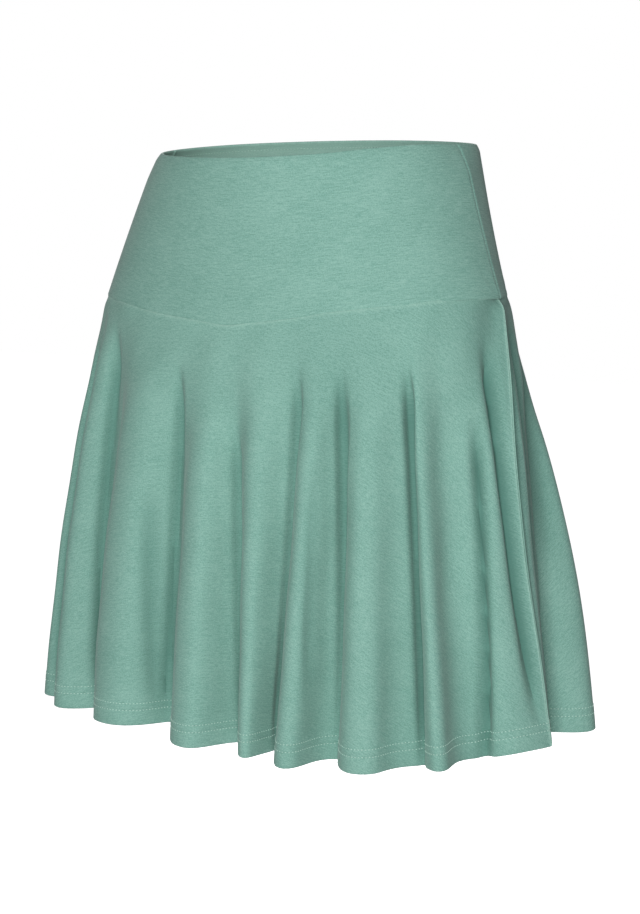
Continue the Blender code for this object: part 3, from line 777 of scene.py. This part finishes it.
def stitch_tree(finish):
    """Geometry Nodes that lay short stitches along the lines of a mesh."""
    tree = bpy.data.node_groups.new("stitches along a seam", "GeometryNodeTree")
    sizes = {"Pitch": 0.0022, "Length": 0.0015, "Thickness": 0.0005, "Slant": 0.0}
    tree.interface.new_socket("Lines", in_out="INPUT", socket_type="NodeSocketGeometry")
    for name, value in sizes.items():
        socket = tree.interface.new_socket(name, in_out="INPUT", socket_type="NodeSocketFloat")
        socket.default_value = value
    seed = tree.interface.new_socket("Seed", in_out="INPUT", socket_type="NodeSocketInt")
    seed.default_value = 4
    tree.interface.new_socket("Stitches", in_out="OUTPUT", socket_type="NodeSocketGeometry")

    def add(kind, settings, sockets):
        node = tree.nodes.new(kind)
        for key, value in settings.items():
            setattr(node, key, value)
        for key, value in sockets.items():
            if isinstance(value, bpy.types.NodeSocket):
                tree.links.new(value, node.inputs[key])
            else:
                node.inputs[key].default_value = value
        return node

    given = add("NodeGroupInput", {}, {}).outputs
    curve = add("GeometryNodeMeshToCurve", {}, {"Mesh": given["Lines"]})
    points = add("GeometryNodeCurveToPoints", {"mode": "LENGTH"},
                 {"Curve": curve.outputs[0], "Length": given["Pitch"]})
    along = add("FunctionNodeAlignRotationToVector", {"axis": "X"},
                {"Vector": points.outputs["Tangent"]})
    wobble = add("FunctionNodeRandomValue", {"data_type": "FLOAT"},
                 {"Min": -0.12, "Max": 0.12, "Seed": given["Seed"]}).outputs[1]
    slant = add("ShaderNodeMath", {"operation": "ADD"}, {0: given["Slant"], 1: wobble})
    turn = add("ShaderNodeCombineXYZ", {}, {"Y": slant.outputs[0]})
    turned = add("FunctionNodeRotateRotation", {"rotation_space": "LOCAL"},
                 {"Rotation": along.outputs[0], "Rotate By": turn.outputs[0]})
    bead = add("GeometryNodeMeshUVSphere", {}, {"Segments": 6, "Rings": 4, "Radius": 0.5})
    size = add("ShaderNodeCombineXYZ", {}, {"X": given["Length"], "Y": given["Thickness"],
                                            "Z": given["Thickness"]})
    placed = add("GeometryNodeInstanceOnPoints", {},
                 {"Points": points.outputs["Points"], "Instance": bead.outputs[0],
                  "Rotation": turned.outputs[0], "Scale": size.outputs[0]})
    real = add("GeometryNodeRealizeInstances", {}, {0: placed.outputs[0]})
    finished = add("GeometryNodeSetMaterial", {}, {"Geometry": real.outputs[0], "Material": finish})
    add("NodeGroupOutput", {}, {0: finished.outputs[0]})
    return tree


def stitches(name, tree, lines, **sizes):
    """Stitches along lines of points, made into a plain mesh."""
    points, edges = [], []
    for line in lines:
        edges += [(len(points) + k, len(points) + k + 1) for k in range(len(line) - 1)]
        points += [tuple(point) for point in line]
    mesh = bpy.data.meshes.new(name + "_lines")
    mesh.from_pydata(points, edges, [])
    guide = bpy.data.objects.new(name + "_lines", mesh)
    bpy.context.scene.collection.objects.link(guide)
    work = guide.modifiers.new("stitches", "NODES")
    work.node_group = tree
    for item in tree.interface.items_tree:
        if item.in_out == "INPUT" and item.name in sizes:
            work[item.identifier] = sizes[item.name]
    made = guide.evaluated_get(bpy.context.evaluated_depsgraph_get())
    sewn = bpy.data.meshes.new_from_object(made)
    sewn.name = name
    guide.modifiers.remove(work)
    bpy.data.objects.remove(guide, do_unlink=True)
    sewn.shade_smooth()
    piece = bpy.data.objects.new(name, sewn)
    bpy.context.scene.collection.objects.link(piece)
    return piece


def line_on(grid, levels, level, lift):
    """Line across a grid at a level between its rows, lifted off its surface."""
    normals = grid_normals(grid)
    row = int(np.searchsorted(levels, level)) - 1
    row = min(max(row, 0), len(levels) - 2)
    part = (level - levels[row]) / (levels[row + 1] - levels[row])
    line = mix(grid[:, row], grid[:, row + 1], part)
    return line + unit(mix(normals[:, row], normals[:, row + 1], part)) * lift


# ---- sewing it all ----

whole_skirt = skirt_cloth()
sage = jersey("sage jersey", (0.0045, 0.0005), 1.0)
skirt_finish = jersey("sage jersey, skirt", (0.0036, 0.0006), 0.8)
pale_thread = thread("pale sage thread", THREAD_LIGHT)
stitch_nodes = stitch_tree(pale_thread)

band_front, band_front_lining = band_piece(
    "contoured_band_front", SIDE_RIGHT - 360, SIDE_LEFT, SIDE_SWELL_FRONT, sage)
band_back, band_back_lining = band_piece(
    "contoured_band_back", SIDE_LEFT, SIDE_RIGHT, SIDE_SWELL_BACK, sage)
panel_front, front_face, front_lining = skirt_panel(
    "skirt_panel_front", RIGHT_SEAM_FOLD - len(FOLDS), LEFT_SEAM_FOLD, PANEL_SWELL_FRONT, skirt_finish)
panel_back, back_face, back_lining = skirt_panel(
    "skirt_panel_back", LEFT_SEAM_FOLD, RIGHT_SEAM_FOLD, PANEL_SWELL_BACK, skirt_finish)
leg_left, left_face = shorts_leg("shorts_leg_left", 1, sage)
leg_right, right_face = shorts_leg("shorts_leg_right", -1, sage)

# How far a line of stitches stands off the cloth's outer face, or out of its lining
OFF_HEM, OFF_HEM_LINING, OFF_BAND_LINING, OFF_LEG = 0.00012, -0.00015, -0.00012, 0.0001


def hem_stitches(name, face, lining):
    levels = SKIRT_SHARES * SKIRT_LENGTH
    lines = [line_on(side, levels, SKIRT_LENGTH - row, off)[2:-2]
             for side, off in ((face, OFF_HEM), (lining, OFF_HEM_LINING)) for row in HEM_ROWS]
    return stitches(name, stitch_nodes, lines, Pitch=0.0026, Length=0.0014, Thickness=0.00072)


def lining_stitches(name, lining):
    line = line_on(lining, BAND_SHARES * BAND_DEPTH, BAND_ROW, OFF_BAND_LINING)[2:-2]
    return stitches(name, stitch_nodes, [line], Pitch=0.0026, Length=0.0017, Thickness=0.00045)


def leg_stitches(name, face):
    line = line_on(face, SHORTS_DOWN, SHORTS_LENGTH - LEG_HEM_ROW, OFF_LEG)
    return stitches(name, stitch_nodes, [line], Pitch=0.0024, Length=0.0016, Thickness=0.00045)


front_hem_stitches = hem_stitches("hem_stitches_front", front_face, front_lining)
back_hem_stitches = hem_stitches("hem_stitches_back", back_face, back_lining)
front_lining_stitches = lining_stitches("band_stitches_front", band_front_lining)
back_lining_stitches = lining_stitches("band_stitches_back", band_back_lining)
left_leg_stitches = leg_stitches("leg_stitches_left", left_face)
right_leg_stitches = leg_stitches("leg_stitches_right", right_face)

# ---- riding on the frame ----

for piece, node, stitching in (
        (band_front, "waistband_front", front_lining_stitches),
        (band_back, "waistband_back", back_lining_stitches),
        (panel_front, "skirt_front", front_hem_stitches),
        (panel_back, "skirt_back", back_hem_stitches),
        (leg_left, "shorts_left", left_leg_stitches),
        (leg_right, "shorts_right", right_leg_stitches)):
    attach(piece, "root")
    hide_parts(node)
    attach(stitching, "root")

# ---- studio ----

LIGHTS_AIM = (0, 0, -0.22)
FLOOR_LEVEL, FLOOR_REACH = -1.05, 6
ROOM_GLOW = 0.13            # of the white room on the garment; the camera sees it at full white


def area_light(name, azimuth, height, distance, size, power):
    """A square soft box that looks at the garment's middle; azimuth 0 is straight before it."""
    data = bpy.data.lights.new(name, "AREA")
    data.shape, data.size, data.energy = "SQUARE", size, power
    light = bpy.data.objects.new(name, data)
    turn = math.radians(azimuth)
    light.location = (distance * math.sin(turn), -distance * math.cos(turn), height)
    towards = Vector(LIGHTS_AIM) - light.location
    light.rotation_euler = towards.to_track_quat("-Z", "Y").to_euler()
    bpy.context.scene.collection.objects.link(light)


area_light("soft box by the camera", azimuth=25, height=0.30, distance=2.3, size=0.7, power=45)
area_light("soft box above", azimuth=10, height=1.50, distance=0.35, size=1.0, power=4)
area_light("soft box behind", azimuth=208, height=0.10, distance=2.4, size=0.7, power=34)

floor_finish = Finish("pale floor", Roughness=0.9)
floor_spot = floor_finish.node("ShaderNodeTexCoord", {}, {}).outputs["Object"]
floor_grain = floor_finish.node(
    "ShaderNodeTexNoise", {}, {"Vector": floor_spot, "Scale": 3.0, "Detail": 2.0}).outputs[0]
floor_seen = floor_finish.node("ShaderNodeLightPath", {}, {}).outputs["Is Camera Ray"]
for socket, value in (
        ("Base Color", floor_finish.blend(floor_grain, (0.60, 0.60, 0.60), (0.64, 0.64, 0.64))),
        ("Emission Color", (1.0, 1.0, 1.0)), ("Emission Strength", floor_seen)):
    floor_finish.plug(floor_finish.shader.inputs[socket], value)
floor_mesh = bpy.data.meshes.new("pale_floor")
floor_mesh.from_pydata([(FLOOR_REACH * x, FLOOR_REACH * y, FLOOR_LEVEL)
                        for x, y in ((-1, -1), (1, -1), (1, 1), (-1, 1))], [], [(0, 1, 2, 3)])
floor_mesh.materials.append(floor_finish.material)
floor = bpy.data.objects.new("pale_floor", floor_mesh)
bpy.context.scene.collection.objects.link(floor)

room = bpy.data.worlds.new("white room")
room.use_nodes = True
bpy.context.scene.world = room
nodes = room.node_tree.nodes
walls, seen = nodes["Background"], nodes.new("ShaderNodeBackground")
for background, strength in ((walls, ROOM_GLOW), (seen, 1.0)):
    background.inputs["Color"].default_value = (1, 1, 1, 1)
    background.inputs["Strength"].default_value = strength
path, chosen = nodes.new("ShaderNodeLightPath"), nodes.new("ShaderNodeMixShader")
for out, into in ((path.outputs["Is Camera Ray"], chosen.inputs[0]),
                  (walls.outputs[0], chosen.inputs[1]), (seen.outputs[0], chosen.inputs[2]),
                  (chosen.outputs[0], nodes["World Output"].inputs["Surface"])):
    room.node_tree.links.new(out, into)
bpy.context.scene.view_settings.view_transform = "Standard"

# The camera stands to the wearer's left of the front, a little above the waist, tipped slightly
CAMERA_DISTANCE, CAMERA_AZIMUTH, CAMERA_HEIGHT = 2.1, math.radians(30), 0.10
CAMERA_AIM, CAMERA_ROLL, CAMERA_LENS = (0, 0, -0.235), math.radians(1.2), 110.2

eye = Vector((CAMERA_DISTANCE * math.sin(CAMERA_AZIMUTH), -CAMERA_DISTANCE * math.cos(CAMERA_AZIMUTH),
              CAMERA_HEIGHT))
forward = (Vector(CAMERA_AIM) - eye).normalized()
right = forward.cross(Vector((0, 0, 1))).normalized()
up = right.cross(forward)
sine, cosine = math.sin(CAMERA_ROLL), math.cos(CAMERA_ROLL)
right, up = right * cosine - up * sine, up * cosine + right * sine
lens = bpy.data.cameras.new("camera")
lens.lens, lens.sensor_width = CAMERA_LENS, 36.0
camera = bpy.data.objects.new("camera", lens)
turned = Matrix((right, up, -forward)).transposed().to_4x4()
camera.matrix_world = Matrix.Translation(eye) @ turned
bpy.context.scene.collection.objects.link(camera)
bpy.context.scene.camera = camera
